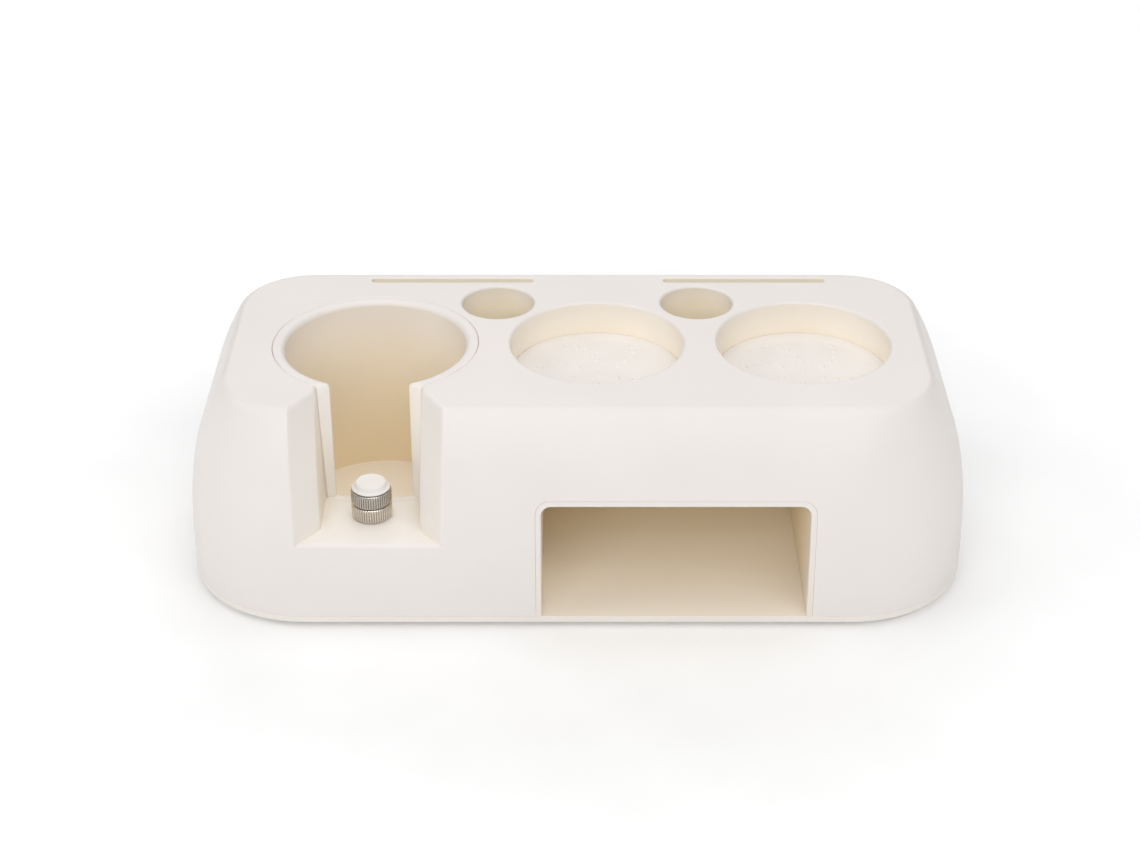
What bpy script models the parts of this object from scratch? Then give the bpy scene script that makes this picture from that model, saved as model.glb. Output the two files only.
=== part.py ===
"""Espresso tamping station: a moulded stand with a lift-out portafilter cup and a screw-adjusted
handle rest, made of its separate pieces. Metres, +Z up, origin at the centre of the footprint on
the surface that the feet stand on, +Y towards the back."""

import math

import bmesh
import bpy

MM = 0.001
GAP = 0.35 * MM                     # clearance between neighbouring pieces

# Body
TOP_Z = 78.2 * MM
BASE_BOTTOM_Z = 1.5 * MM
PLATE_THICK = 3.2 * MM
PLATE_TOP_Z = BASE_BOTTOM_Z + PLATE_THICK
SHELL_BOTTOM_Z = PLATE_TOP_Z + 0.3 * MM
BODY_HEIGHT = TOP_Z - BASE_BOTTOM_Z
TOP_HALF_X = 121.8 * MM
TOP_HALF_Y = 51.6 * MM
TOP_CORNER_R = 24.6 * MM
FLARE = 14.7 * MM                   # how far the sides swell out below the top edge
FLARE_POWER = 3.3
CORNER_GROWTH = 1.2                 # corner radius gained per unit of flare
EDGE_FILLET = 1.6 * MM
WALL = 2.4 * MM
OVER = 3.0 * MM                     # how far a cutter runs past the face it opens

# Portafilter cup and its socket
CUP_X, CUP_Y = -71.0 * MM, -3.8 * MM
CUP_SIDES = 48
CUP_TOP_R = 36.1 * MM
CUP_DRAFT = 1.7 / 45.0              # radius lost per unit of depth
CUP_INNER_TOP_R = 31.9 * MM
CUP_INNER_FLOOR_R = 31.2 * MM
CUP_RIM_FILLET = 1.9 * MM
CUP_DEPTH = 66.8 * MM
CUP_FLOOR_THICK = 2.0 * MM
CUP_SLOT_HALF = 13.2 * MM           # half width of the cup's front slot at the bore
CUP_SLOT_SPREAD = 1.2               # extra half width per unit of wall, so the slot faces splay

# Handle channel
CHANNEL_X = -70.9 * MM
LEDGE_DEPTH = 45.2 * MM
CHANNEL_TOP_HALF = 18.1 * MM
CHANNEL_LEDGE_HALF = 17.0 * MM
SPLAY_WIDTH = 7.8 * MM
SPLAY_RUN_TOP = 13.0 * MM
SPLAY_RUN_LEDGE = 10.1 * MM

# Round recesses, brush wells and screen slots
RECESS_XS = {"tamper": 6.8 * MM, "distributor": 79.4 * MM}
RECESS_Y = -3.0 * MM
RECESS_R = 30.5 * MM
RECESS_DEPTH = 12.2 * MM
RECESS_EDGE = 1.0 * MM
PAD_THICK = 2.0 * MM
DOT_HEIGHT = 0.6 * MM
WELL_XS = {"left": -28.9 * MM, "right": 43.1 * MM}
WELL_Y = 28.0 * MM
WELL_R = 13.0 * MM
WELL_DEPTH = 62.0 * MM
WELL_EDGE = 1.0 * MM
SLOT_XS = {"left": -46.4 * MM, "right": 61.4 * MM}
SLOT_Y = 46.2 * MM
SLOT_LENGTH = 59.4 * MM
SLOT_WIDTH = 3.3 * MM
SLOT_DEPTH = 34.0 * MM

# Storage compartment
BAY_LEFT, BAY_RIGHT = -14.3 * MM, 80.4 * MM
BAY_TOP_DEPTH = 29.2 * MM
BAY_BACK_Y = 11.0 * MM
BAY_CORNER_R = 4.6 * MM
LINER_WALL = 1.9 * MM

# Handle rest
REST_X, REST_Y = CHANNEL_X, -45.6 * MM
NUT_R = 7.0 * MM
NUT_HEIGHT = 5.0 * MM
NUT_GAP = 0.35 * MM
RIDGES = 30
RIDGE_DEPTH = 0.25 * MM
NUT_BOTTOM_Z = TOP_Z - LEDGE_DEPTH + 0.5 * MM
HEAD_BOTTOM_Z = NUT_BOTTOM_Z + NUT_HEIGHT + NUT_GAP
HEAD_TOP_Z = HEAD_BOTTOM_Z + NUT_HEIGHT
STUD_R = 2.9 * MM
STUD_BOTTOM_Z = 14.0 * MM
BUSH_R = 4.4 * MM
BUSH_LENGTH = 9.0 * MM
BUSH_TOP_Z = TOP_Z - LEDGE_DEPTH - 0.3 * MM
BOSS_R = 7.0 * MM

# Fasteners and feet
POSTS = [(-108, 33), (-112, -33), (108, 33), (112, -33), (7, 36), (-30, -42)]
POST_R = 4.2 * MM
PILOT_R = 1.65 * MM
PILOT_DEPTH = 13.0 * MM
SCREW_SHANK_R = 1.3 * MM
SCREW_HEAD_R = 2.9 * MM
SCREW_HEAD_HEIGHT = 1.5 * MM
SCREW_LENGTH = 12.0 * MM
COUNTERBORE_R = 3.3 * MM
COUNTERBORE_DEPTH = 1.9 * MM
FEET = [(-98, 45), (-98, -45), (98, 45), (98, -45)]
FOOT_R = 8.0 * MM
FOOT_INSET = 0.7 * MM

COLOURS = {
    "cream_plastic": ((0.84, 0.80, 0.74), 0.45, 0.0),
    "warm_plastic": ((0.83, 0.77, 0.66), 0.5, 0.0),
    "silicone": ((0.80, 0.73, 0.67), 0.7, 0.0),
    "white_rubber": ((0.88, 0.86, 0.83), 0.6, 0.0),
    "steel": ((0.55, 0.52, 0.48), 0.3, 1.0),
    "brass": ((0.75, 0.58, 0.28), 0.35, 1.0),
    "black_rubber": ((0.06, 0.06, 0.06), 0.8, 0.0),
}


def clear_scene():
    for obj in list(bpy.data.objects):
        bpy.data.objects.remove(obj)


def give_material(obj, kind):
    colour, roughness, metallic = COLOURS[kind]
    material = bpy.data.materials.new(obj.name + "_" + kind)
    material.use_nodes = True
    shader = material.node_tree.nodes["Principled BSDF"]
    shader.inputs["Base Color"].default_value = (*colour, 1.0)
    shader.inputs["Roughness"].default_value = roughness
    shader.inputs["Metallic"].default_value = metallic
    obj.data.materials.clear()
    obj.data.materials.append(material)


def finish(obj, kind, smooth_angle=32.0):
    give_material(obj, kind)
    obj.data.shade_smooth()
    obj.data.set_sharp_from_angle(angle=math.radians(smooth_angle))
    return obj


def object_from(name, bm, location=(0.0, 0.0, 0.0)):
    bmesh.ops.recalc_face_normals(bm, faces=bm.faces)
    mesh = bpy.data.meshes.new(name)
    bm.to_mesh(mesh)
    bm.free()
    obj = bpy.data.objects.new(name, mesh)
    obj.location = location
    bpy.context.collection.objects.link(obj)
    return obj


def loft(name, rings):
    """Closed solid through rings that have the same number of points each."""
    bm = bmesh.new()
    loops = [[bm.verts.new(point) for point in ring] for ring in rings]
    count = len(loops[0])
    for lower, upper in zip(loops, loops[1:]):
        for i in range(count):
            j = (i + 1) % count
            bm.faces.new((lower[i], lower[j], upper[j], upper[i]))
    bm.faces.new(reversed(loops[0]))
    bm.faces.new(loops[-1])
    return object_from(name, bm)


def turned(name, profile, centre, segments):
    """Solid of revolution about a vertical axis, closed by flat caps; profile is (radius, z)
    pairs from the bottom up."""
    rings = []
    for radius, z in profile:
        ring = []
        for i in range(segments):
            angle = 2.0 * math.pi * i / segments
            ring.append((radius * math.cos(angle), radius * math.sin(angle), z))
        rings.append(ring)
    obj = loft(name, rings)
    obj.location = (centre[0], centre[1], 0.0)
    return obj


def box(name, low, high):
    ring = [(low[0], low[1]), (high[0], low[1]), (high[0], high[1]), (low[0], high[1])]
    return loft(name, [[(x, y, z) for x, y in ring] for z in (low[2], high[2])])


def combine(target, tool, operation):
    """Applies an exact Boolean of the tool to the target and removes the tool."""
    tool.hide_render = True
    tool.display_type = "WIRE"
    modifier = target.modifiers.new(operation.lower(), "BOOLEAN")
    modifier.operation = operation
    modifier.solver = "EXACT"
    modifier.object = tool
    depsgraph = bpy.context.evaluated_depsgraph_get()
    mesh = bpy.data.meshes.new_from_object(target.evaluated_get(depsgraph))
    target.modifiers.clear()
    target.data = mesh
    bpy.data.objects.remove(tool)


def cut(target, *tools):
    for tool in tools:
        combine(target, tool, "DIFFERENCE")


def join(target, *tools):
    for tool in tools:
        combine(target, tool, "UNION")


def flare_at(z):
    """Outward swell of the body's side at height z."""
    depth = min(max((TOP_Z - z) / BODY_HEIGHT, 0.0), 1.0)
    return FLARE * (1.0 - (1.0 - depth) ** FLARE_POWER)


def body_ring(z, inset=0.0, corner_steps=6):
    """The body's rounded-rectangle outline at height z, drawn in by inset."""
    swell = flare_at(z)
    half_x = TOP_HALF_X + swell - inset
    half_y = TOP_HALF_Y + swell - inset
    radius = TOP_CORNER_R + CORNER_GROWTH * swell - inset
    ring = []
    for quarter, (sx, sy) in enumerate(((1, 1), (-1, 1), (-1, -1), (1, -1))):
        for step in range(corner_steps + 1):
            angle = 0.5 * math.pi * (quarter + step / corner_steps)
            x = sx * (half_x - radius) + radius * math.cos(angle)
            y = sy * (half_y - radius) + radius * math.sin(angle)
            ring.append((x, y, z))
    return ring


def side_heights(bottom, top, steps):
    """Heights from bottom to top, closer together where the side curves most."""
    return [top - (top - bottom) * (1.0 - i / steps) ** 1.5 for i in range(steps + 1)]


def body_solid(name, bottom, steps=9):
    rings = [body_ring(z) for z in side_heights(bottom, TOP_Z - EDGE_FILLET, steps)]
    for turn in (30.0, 60.0, 90.0):
        angle = math.radians(turn)
        z = TOP_Z - EDGE_FILLET * (1.0 - math.sin(angle))
        rings.append(body_ring(z, EDGE_FILLET * (1.0 - math.cos(angle))))
    return loft(name, rings)


def cavity_solid(steps=7):
    top = TOP_Z - WALL
    bottom = SHELL_BOTTOM_Z
    rings = [body_ring(z, WALL) for z in side_heights(bottom, top, steps)]
    below = [(x, y, bottom - OVER) for x, y, _ in rings[0]]
    return loft("cavity", [below] + rings)


def cup_radius(depth):
    return CUP_TOP_R - CUP_DRAFT * depth


def socket_solid(name, extra, bottom_depth):
    """Tapered plug the shape of the cup's outside, larger by extra, open past the top."""
    profile = [(cup_radius(bottom_depth) + extra, TOP_Z - bottom_depth),
               (cup_radius(0.0) + extra, TOP_Z),
               (cup_radius(0.0) + extra, TOP_Z + OVER)]
    return turned(name, profile, (CUP_X, CUP_Y), CUP_SIDES)


def channel_solid(name, extra, bottom_depth):
    """Handle channel: parallel walls that splay open at the front, following the front face."""
    rings = []
    depths = [bottom_depth, 34.0 * MM, 24.0 * MM, 15.0 * MM, 7.0 * MM, 0.0, -OVER]
    for depth in depths:
        z = TOP_Z - depth
        part = min(max(depth / LEDGE_DEPTH, 0.0), 1.0)
        half = CHANNEL_TOP_HALF + (CHANNEL_LEDGE_HALF - CHANNEL_TOP_HALF) * part + extra
        run = SPLAY_RUN_TOP + (SPLAY_RUN_LEDGE - SPLAY_RUN_TOP) * part
        slope = SPLAY_WIDTH / run
        front = -(TOP_HALF_Y + flare_at(z))
        outer_y = front - OVER
        start_y = front + run
        outer_half = half + slope * (start_y - outer_y)
        back_y = CUP_Y - 24.0 * MM
        ring = [(CHANNEL_X + half, back_y, z), (CHANNEL_X - half, back_y, z),
                (CHANNEL_X - half, start_y, z), (CHANNEL_X - outer_half, outer_y, z),
                (CHANNEL_X + outer_half, outer_y, z), (CHANNEL_X + half, start_y, z)]
        rings.append(ring)
    return loft(name, rings)


def edged_bore(name, radius, edge, depth, centre, segments):
    """Blind round hole cutter with an eased mouth."""
    profile = [(radius, TOP_Z - depth), (radius, TOP_Z - edge),
               (radius + 0.3 * edge, TOP_Z - 0.3 * edge), (radius + edge, TOP_Z + 0.01 * edge),
               (radius + edge, TOP_Z + OVER)]
    return turned(name, profile, centre, segments)


def slot_box(name, x, extra, depth):
    half_l = 0.5 * SLOT_LENGTH + extra
    half_w = 0.5 * SLOT_WIDTH + extra
    return box(name, (x - half_l, SLOT_Y - half_w, TOP_Z - depth),
               (x + half_l, SLOT_Y + half_w, TOP_Z + OVER))


def bay_solid(name, extra, front_y, back_y, bottom_z):
    """Compartment block with rounded upper corners, grown by extra and run along Y."""
    left, right = BAY_LEFT - extra, BAY_RIGHT + extra
    top = TOP_Z - BAY_TOP_DEPTH + extra
    radius = BAY_CORNER_R + extra
    outline = [(left, bottom_z), (right, bottom_z)]
    for centre_x, start in ((right - radius, 0.0), (left + radius, 90.0)):
        for step in range(6):
            angle = math.radians(start + 18.0 * step)
            x = centre_x + radius * math.cos(angle)
            z = top - radius + radius * math.sin(angle)
            outline.append((x, z))
    return loft(name, [[(x, y, z) for x, z in outline] for y in (front_y, back_y)])


def post(name, place, radius, bottom, top):
    return turned(name, [(radius, bottom), (radius, top)], (place[0] * MM, place[1] * MM), 12)


def make_main_shell():
    cavity = cavity_solid()
    cut(cavity, socket_solid("socket_wall", GAP + 2.2 * MM, 71.3 * MM))
    cut(cavity, channel_solid("channel_wall", WALL, LEDGE_DEPTH + WALL))
    cut(cavity, turned("rest_boss", [(BOSS_R, BUSH_TOP_Z - BUSH_LENGTH - 2.0 * MM),
                                     (BOSS_R, TOP_Z - LEDGE_DEPTH)], (REST_X, REST_Y), 24))
    for x in RECESS_XS.values():
        depth = RECESS_DEPTH + PAD_THICK + 0.3 * MM + WALL
        profile = [(RECESS_R + WALL, TOP_Z - depth), (RECESS_R + WALL, TOP_Z)]
        cut(cavity, turned("recess_cup", profile, (x, RECESS_Y), 40))
    for x in WELL_XS.values():
        profile = [(WELL_R + 2.2 * MM, TOP_Z - WELL_DEPTH - 2.2 * MM), (WELL_R + 2.2 * MM, TOP_Z)]
        cut(cavity, turned("well_tube", profile, (x, WELL_Y), 24))
    for x in SLOT_XS.values():
        cut(cavity, slot_box("slot_pocket", x, 1.8 * MM, SLOT_DEPTH + 2.0 * MM))
    for place in POSTS:
        cut(cavity, post("post", place, POST_R, 0.0, TOP_Z))

    shell = body_solid("main_shell", SHELL_BOTTOM_Z)
    cut(shell, cavity)
    cut(shell, socket_solid("socket", GAP, CUP_DEPTH + CUP_FLOOR_THICK + GAP))
    cut(shell, channel_solid("channel", 0.0, LEDGE_DEPTH))
    for x in RECESS_XS.values():
        depth = RECESS_DEPTH + PAD_THICK + 0.3 * MM
        cut(shell, edged_bore("recess", RECESS_R, RECESS_EDGE, depth, (x, RECESS_Y), 40))
    for x in WELL_XS.values():
        cut(shell, edged_bore("well", WELL_R, WELL_EDGE, WELL_DEPTH, (x, WELL_Y), 24))
    for x in SLOT_XS.values():
        cut(shell, slot_box("slot", x, 0.0, SLOT_DEPTH))
    front = -(TOP_HALF_Y + FLARE)
    cut(shell, bay_solid("bay_mouth", GAP, front - OVER, front + 10.0 * MM, -OVER))
    cut(shell, turned("bush_hole", [(BUSH_R + GAP, BUSH_TOP_Z - BUSH_LENGTH - GAP),
                                    (BUSH_R + GAP, TOP_Z - LEDGE_DEPTH + OVER)],
                      (REST_X, REST_Y), 24))
    cut(shell, turned("stud_hole", [(STUD_R + 0.6 * MM, BASE_BOTTOM_Z),
                                    (STUD_R + 0.6 * MM, BUSH_TOP_Z)], (REST_X, REST_Y), 20))
    for place in POSTS:
        cut(shell, post("pilot", place, PILOT_R, -OVER, SHELL_BOTTOM_Z + PILOT_DEPTH))
    return finish(shell, "cream_plastic")


def make_base_plate():
    chamfer = 0.9 * MM
    rings = [body_ring(z, inset) for z, inset in ((BASE_BOTTOM_Z, chamfer + 0.2 * MM),
                                                  (BASE_BOTTOM_Z + chamfer, 0.2 * MM),
                                                  (PLATE_TOP_Z, 0.2 * MM))]
    plate = loft("base_plate", rings)
    rim_low, rim_high = PLATE_TOP_Z - 1.0 * MM, PLATE_TOP_Z + 2.5 * MM
    rim = loft("rim", [body_ring(z, WALL + 0.5 * MM) for z in (rim_low, rim_high)])
    cut(rim, loft("rim_inside", [body_ring(z, WALL + 2.0 * MM)
                                 for z in (rim_low - OVER, rim_high + OVER)]))
    cut(rim, bay_solid("rim_gap", 2.0 * MM, -80.0 * MM, 0.0, -OVER))
    join(plate, rim)
    for place in POSTS:
        cut(plate, post("screw_hole", place, PILOT_R, -OVER, PLATE_TOP_Z + OVER))
        cut(plate, post("counterbore", place, COUNTERBORE_R, -OVER,
                        BASE_BOTTOM_Z + COUNTERBORE_DEPTH))
    for place in FEET:
        cut(plate, turned("foot_recess", [(FOOT_R + 0.3 * MM, -OVER),
                                          (FOOT_R + 0.3 * MM, BASE_BOTTOM_Z + FOOT_INSET + 0.3 * MM)],
                          (place[0] * MM, place[1] * MM), 24))
    return finish(plate, "cream_plastic")


def make_cup():
    """Lift-out cup: turned wall and floor with a front slot for the portafilter's handle."""
    floor_z = TOP_Z - CUP_DEPTH
    bottom = floor_z - CUP_FLOOR_THICK
    bottom_r = cup_radius(TOP_Z - bottom)
    outer = [(bottom_r - 0.8 * MM, bottom), (bottom_r, bottom + 0.8 * MM),
             (cup_radius(0.5 * MM), TOP_Z - 0.5 * MM), (CUP_TOP_R - 0.5 * MM, TOP_Z)]
    cup = turned("portafilter_cup", outer, (CUP_X, CUP_Y), CUP_SIDES)
    mouth = [(CUP_INNER_FLOOR_R, floor_z), (CUP_INNER_TOP_R, TOP_Z - CUP_RIM_FILLET)]
    for turn in (30.0, 60.0):
        angle = math.radians(turn)
        mouth.append((CUP_INNER_TOP_R + CUP_RIM_FILLET * (1.0 - math.cos(angle)),
                      TOP_Z - CUP_RIM_FILLET * (1.0 - math.sin(angle))))
    mouth.append((CUP_INNER_TOP_R + CUP_RIM_FILLET, TOP_Z + 0.02 * MM))
    mouth.append((CUP_INNER_TOP_R + CUP_RIM_FILLET, TOP_Z + OVER))
    cut(cup, turned("cup_bore", mouth, (CUP_X, CUP_Y), CUP_SIDES))
    cut(cup, slot_wedge())
    return finish(cup, "warm_plastic")


def slot_wedge():
    """Cutter of the cup's front slot: its side faces splay outwards through the wall."""
    inner_y = CUP_Y - 20.0 * MM
    bore_y = CUP_Y - 28.6 * MM
    outer_y = CUP_Y - CUP_TOP_R - OVER
    outer_half = CUP_SLOT_HALF + CUP_SLOT_SPREAD * (bore_y - outer_y)
    outline = [(CUP_SLOT_HALF, inner_y), (-CUP_SLOT_HALF, inner_y), (-CUP_SLOT_HALF, bore_y),
               (-outer_half, outer_y), (outer_half, outer_y), (CUP_SLOT_HALF, bore_y)]
    heights = (TOP_Z - LEDGE_DEPTH, TOP_Z + OVER)
    return loft("cup_slot", [[(CUP_X + x, y, z) for x, y in outline] for z in heights])


def make_liner():
    """Compartment liner: a hood open at the front and below, flush with the body's front."""
    liner = bay_solid("compartment_liner", 0.0, -80.0 * MM, BAY_BACK_Y, PLATE_TOP_Z + 0.3 * MM)
    combine(liner, body_solid("front_trim", -OVER, 16), "INTERSECT")
    cut(liner, bay_solid("liner_room", -LINER_WALL, -90.0 * MM, BAY_BACK_Y - LINER_WALL, -OVER))
    return finish(liner, "warm_plastic")


def dot_places(arms=6, dots=5):
    """Centres of a pad's raised dots: a centre dot and curved arms that close up outwards."""
    places = [(0.0, 0.0)]
    for arm in range(arms):
        for dot in range(dots):
            radius = (8.4 + 4.75 * dot - 0.25 * dot * dot) * MM
            angle = math.radians(28.0 + 360.0 * arm / arms + 7.5 * dot)
            places.append((radius * math.cos(angle), radius * math.sin(angle)))
    return places


def make_pad(kind, x):
    """Anti-slip mat in a recess, its face raised in a swirl of low dots."""
    top = TOP_Z - RECESS_DEPTH
    pad = turned(kind + "_pad", [(RECESS_R - 0.4 * MM, top - PAD_THICK), (RECESS_R - 0.4 * MM, top)],
                 (x, RECESS_Y), 40)
    for dx, dy in dot_places():
        dot = turned("dot", [(0.9 * MM, top - 0.3 * MM), (0.6 * MM, top + DOT_HEIGHT)],
                     (x + dx, RECESS_Y + dy), 6)
        join(pad, dot)
    return finish(pad, "silicone")


def ridged_ring(radius, z):
    ring = []
    for i in range(2 * RIDGES):
        r = radius if i % 2 else radius - RIDGE_DEPTH
        angle = math.pi * i / RIDGES
        ring.append((r * math.cos(angle), r * math.sin(angle), z))
    return ring


def make_nut(name, bottom, top, bore):
    """Straight-knurled nut or head with eased ends, on the rest's axis."""
    ease = 0.4 * MM
    rings = [ridged_ring(NUT_R - ease, bottom), ridged_ring(NUT_R, bottom + ease),
             ridged_ring(NUT_R, top - ease), ridged_ring(NUT_R - ease, top)]
    nut = loft(name, rings)
    nut.location = (REST_X, REST_Y, 0.0)
    if bore:
        cut(nut, turned("thread_hole", [(bore, bottom - OVER), (bore, top + OVER)],
                        (REST_X, REST_Y), 24))
    return finish(nut, "steel")


def make_stud():
    """Threaded rod of the rest, its thread drawn as a plain rod, with an eased tip."""
    top = HEAD_BOTTOM_Z - 0.3 * MM
    profile = [(STUD_R - 0.7 * MM, STUD_BOTTOM_Z), (STUD_R, STUD_BOTTOM_Z + 0.7 * MM), (STUD_R, top)]
    return finish(turned("rest_stud", profile, (REST_X, REST_Y), 24), "steel")


def make_bush():
    """Brass threaded bush moulded into the ledge's boss."""
    bottom = BUSH_TOP_Z - BUSH_LENGTH
    bush = turned("threaded_bush", [(BUSH_R - 0.3 * MM, bottom), (BUSH_R, bottom + 0.5 * MM),
                                    (BUSH_R, BUSH_TOP_Z)], (REST_X, REST_Y), 24)
    cut(bush, turned("bush_thread", [(STUD_R + 0.3 * MM, bottom - OVER),
                                     (STUD_R + 0.3 * MM, BUSH_TOP_Z + OVER)], (REST_X, REST_Y), 24))
    return finish(bush, "brass")


def make_rest_cap():
    """Soft cap on the adjuster's head: a flange, a waist and a flat top with a rounded edge."""
    z = HEAD_TOP_Z + 0.3 * MM
    profile = [(6.3, 0.0), (6.5, 0.25), (6.3, 0.5), (5.7, 0.9), (5.35, 1.5), (5.15, 2.0),
               (4.7, 2.5), (3.9, 2.7)]
    points = [(r * MM, z + h * MM) for r, h in profile]
    return finish(turned("rest_cap", points, (REST_X, REST_Y), 24), "white_rubber")


def make_feet():
    for number, place in enumerate(FEET, 1):
        profile = [(FOOT_R - 0.6 * MM, 0.0), (FOOT_R, 0.6 * MM),
                   (FOOT_R, BASE_BOTTOM_Z + FOOT_INSET)]
        foot = turned(f"foot_{number}", profile, (place[0] * MM, place[1] * MM), 24)
        finish(foot, "black_rubber")


def make_screws():
    seat = BASE_BOTTOM_Z + COUNTERBORE_DEPTH - 0.3 * MM
    for number, place in enumerate(POSTS, 1):
        bottom = seat - SCREW_HEAD_HEIGHT
        profile = [(SCREW_HEAD_R - 0.3 * MM, bottom), (SCREW_HEAD_R, bottom + 0.3 * MM),
                   (SCREW_HEAD_R, seat), (SCREW_SHANK_R, seat),
                   (SCREW_SHANK_R, seat + SCREW_LENGTH - 1.0 * MM),
                   (0.4 * MM, seat + SCREW_LENGTH)]
        screw = turned(f"base_screw_{number}", profile, (place[0] * MM, place[1] * MM), 14)
        finish(screw, "steel")


def main():
    clear_scene()
    make_main_shell()
    make_base_plate()
    make_cup()
    make_liner()
    for kind, x in RECESS_XS.items():
        make_pad(kind, x)
    make_nut("lock_nut", NUT_BOTTOM_Z, NUT_BOTTOM_Z + NUT_HEIGHT, STUD_R + 0.3 * MM)
    make_nut("adjuster_head", HEAD_BOTTOM_Z, HEAD_TOP_Z, 0.0)
    make_stud()
    make_bush()
    make_rest_cap()
    make_feet()
    make_screws()


main()
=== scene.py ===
"""Looks of the espresso tamping station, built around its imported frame."""

import math

import bmesh
import bpy
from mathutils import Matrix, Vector


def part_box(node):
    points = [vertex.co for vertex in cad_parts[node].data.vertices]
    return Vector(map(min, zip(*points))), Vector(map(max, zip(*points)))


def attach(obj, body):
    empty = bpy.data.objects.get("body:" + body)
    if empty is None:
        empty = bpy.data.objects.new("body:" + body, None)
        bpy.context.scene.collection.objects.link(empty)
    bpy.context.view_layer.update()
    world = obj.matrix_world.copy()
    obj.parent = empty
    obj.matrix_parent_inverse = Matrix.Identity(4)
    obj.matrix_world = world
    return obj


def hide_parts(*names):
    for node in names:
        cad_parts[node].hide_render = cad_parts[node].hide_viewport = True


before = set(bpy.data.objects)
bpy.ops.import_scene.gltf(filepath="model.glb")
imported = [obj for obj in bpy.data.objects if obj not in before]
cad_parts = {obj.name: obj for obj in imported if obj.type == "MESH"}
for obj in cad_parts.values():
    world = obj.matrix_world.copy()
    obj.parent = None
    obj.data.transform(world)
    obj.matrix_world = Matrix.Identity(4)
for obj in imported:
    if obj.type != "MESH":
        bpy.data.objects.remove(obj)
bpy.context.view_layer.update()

MM = 0.001
OVER = 3.0 * MM                     # how far a cutter runs past the face it opens

SEAM = 0.12 * MM                    # open line round the lift-out cup
FINE_SEAM = 0.06 * MM               # joint line between pieces that are fitted for good

# Places read from the frame
TOP_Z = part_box("main_shell")[1].z
SHELL_BOTTOM_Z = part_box("main_shell")[0].z
PLATE_BOTTOM_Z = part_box("base_plate")[0].z
CUP_LOW, CUP_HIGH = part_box("portafilter_cup")
CUP_X = 0.5 * (CUP_LOW.x + CUP_HIGH.x)
LINER_LOW, LINER_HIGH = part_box("compartment_liner")
NUT_LOW, NUT_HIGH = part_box("lock_nut")
HEAD_LOW, HEAD_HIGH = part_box("adjuster_head")
CAP_LOW, CAP_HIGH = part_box("rest_cap")
STUD_LOW, STUD_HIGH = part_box("rest_stud")
BUSH_LOW, BUSH_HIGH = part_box("threaded_bush")
REST = (0.5 * (CAP_LOW.x + CAP_HIGH.x), 0.5 * (CAP_LOW.y + CAP_HIGH.y))
BODY_HEIGHT = TOP_Z - PLATE_BOTTOM_Z
PLATE_TOP_Z = SHELL_BOTTOM_Z - 0.3 * MM
SKIRT_Z = PLATE_TOP_Z + FINE_SEAM   # the skirt and the liner all but close the parting line
PAST_FRONT_Y = -80.0 * MM           # well in front of the body

# Body
TOP_HALF_X = 121.8 * MM
TOP_HALF_Y = 51.6 * MM
TOP_CORNER_R = 24.6 * MM
FLARE = 14.7 * MM
FLARE_POWER = 3.3
CORNER_GROWTH = 1.2
EDGE_FILLET = 1.7 * MM
WALL = 2.4 * MM

# Portafilter cup and socket
CUP_Y = -3.8 * MM
CUP_TOP_R = 36.1 * MM
CUP_DRAFT = 1.7 / 45.0
CUP_INNER_TOP_R = 31.9 * MM
CUP_INNER_FLOOR_R = 31.2 * MM
CUP_RIM_FILLET = 1.9 * MM
CUP_DEPTH = 66.8 * MM
CUP_FLOOR_THICK = 2.0 * MM
CUP_SLOT_HALF = 12.4 * MM           # to the corners before they are rounded
CUP_SLOT_SPREAD = 1.5
CUP_SLOT_EDGE = 2.0 * MM
SOCKET_WALL_DEPTH = 71.3 * MM

# Handle channel
CHANNEL_X = -70.9 * MM
LEDGE_DEPTH = 45.2 * MM
CHANNEL_TOP_HALF = 18.1 * MM
CHANNEL_LEDGE_HALF = 17.0 * MM
SPLAY_WIDTH = 7.8 * MM
SPLAY_RUN_TOP = 13.0 * MM
SPLAY_RUN_LEDGE = 10.1 * MM
SPLAY_INNER_R = 2.0 * MM            # where the wall turns into the splay
SPLAY_OUTER_R = 1.3 * MM            # where the splay turns into the front face
CHANNEL_NOSE_R = 0.9 * MM           # where the socket's bore turns into the wall
CHANNEL_WALL_START = 28.0 * MM      # from the cup's axis
SOCKET_EDGE = 0.35 * MM             # top edge round the socket
CHANNEL_EDGE = 1.3 * MM             # top edge along the channel

# Recesses, wells and slots
RECESS_Y = -3.0 * MM
RECESS_R = 30.5 * MM
RECESS_DEPTH = 12.2 * MM
PAD_THICK = 2.0 * MM
PAD_BED = 0.3 * MM                  # room under a mat
WELL_Y = 28.0 * MM
WELL_R = 13.0 * MM
WELL_DEPTH = 62.0 * MM
WELL_WALL = 2.2 * MM
WELL_XS = (-28.9 * MM, 43.1 * MM)
SLOT_Y = 46.2 * MM
SLOT_HALF_L = 29.7 * MM
SLOT_HALF_W = 1.65 * MM
SLOT_DEPTH = 34.0 * MM
SLOT_XS = (-46.4 * MM, 61.4 * MM)
POCKET_HALF_L = 31.5 * MM
POCKET_HALF_W = 3.45 * MM
POCKET_DEPTH = 36.0 * MM
RECESS_XS = (6.8 * MM, 79.4 * MM)
MOUTH_FILLET = 1.0 * MM

# Compartment
BAY_CORNER_R = 4.6 * MM
LINER_WALL = 1.9 * MM

# Handle rest
RIDGES = 50
RIDGE_DEPTH = 0.26 * MM
LOCK_NUT_BORE = 3.2 * MM
THREAD_DEPTH = 0.55 * MM
THREAD_PITCH = 1.0 * MM
BOSS_R = 7.0 * MM
BUSH_CLEARANCE = 0.35 * MM
STUD_HOLE_R = 3.5 * MM

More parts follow.
